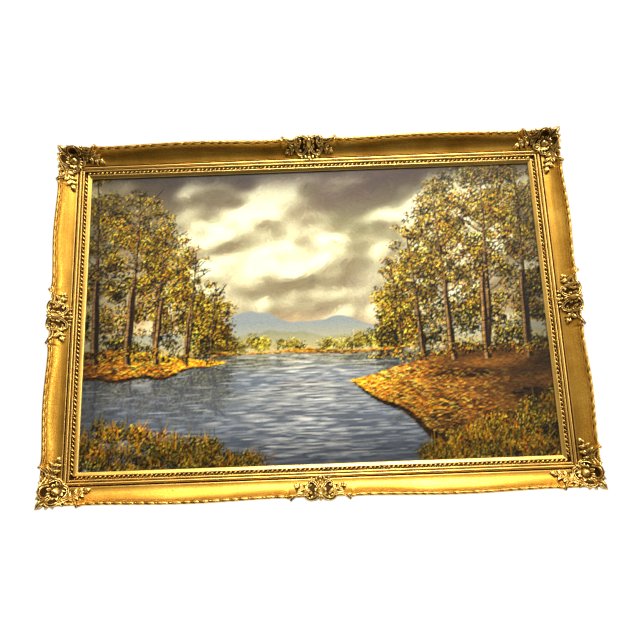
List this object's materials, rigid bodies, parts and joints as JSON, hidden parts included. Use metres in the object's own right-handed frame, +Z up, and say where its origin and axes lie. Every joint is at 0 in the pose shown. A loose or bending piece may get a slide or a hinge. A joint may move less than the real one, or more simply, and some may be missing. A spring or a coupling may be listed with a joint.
{
  "type": "framed oil painting",
  "caption": "autumn landscape in oils on stretched canvas, in a scalloped gilt frame with applied corner and centre ornaments, to hang flat on a wall",
  "frame": {"origin": "middle of the top rail's flat back, where the frame rests on its wall", "axes": "+X to the picture's right seen from the front, +Y out of the back into the wall, +Z up; the picture faces -Y"},
  "size_m": [1.0382, 0.0592, 0.7322],
  "materials": {
    "gilt": "satin gold leaf toned with brown glaze",
    "gilt_relief": "burnished gold with dark recesses",
    "painting": "varnished oil paint",
    "pine": "bare softwood",
    "steel": "zinc plated"
  },
  "bodies": {
    "root": {"rail_top": "gilt", "rail_right": "gilt", "rail_bottom": "gilt", "rail_left": "gilt", "cartouche_top": "gilt_relief", "cartouche_right": "gilt_relief", "cartouche_bottom": "gilt_relief", "cartouche_left": "gilt_relief", "corner_top_right": "gilt_relief", "corner_bottom_right": "gilt_relief", "corner_bottom_left": "gilt_relief", "corner_top_left": "gilt_relief", "canvas": "painting", "stretcher_top": "pine", "stretcher_right": "pine", "stretcher_bottom": "pine", "stretcher_left": "pine", "stretcher_brace": "pine", "key_top_right_1": "pine", "key_top_right_2": "pine", "key_bottom_right_1": "pine", "key_bottom_right_2": "pine", "key_bottom_left_1": "pine", "key_bottom_left_2": "pine", "key_top_left_1": "pine", "key_top_left_2": "pine", "point_top_1": "steel", "point_top_2": "steel", "point_top_3": "steel", "point_right_1": "steel", "point_right_2": "steel", "point_bottom_1": "steel", "point_bottom_2": "steel", "point_bottom_3": "steel", "point_left_1": "steel", "point_left_2": "steel"}
  },
  "joints": []
}
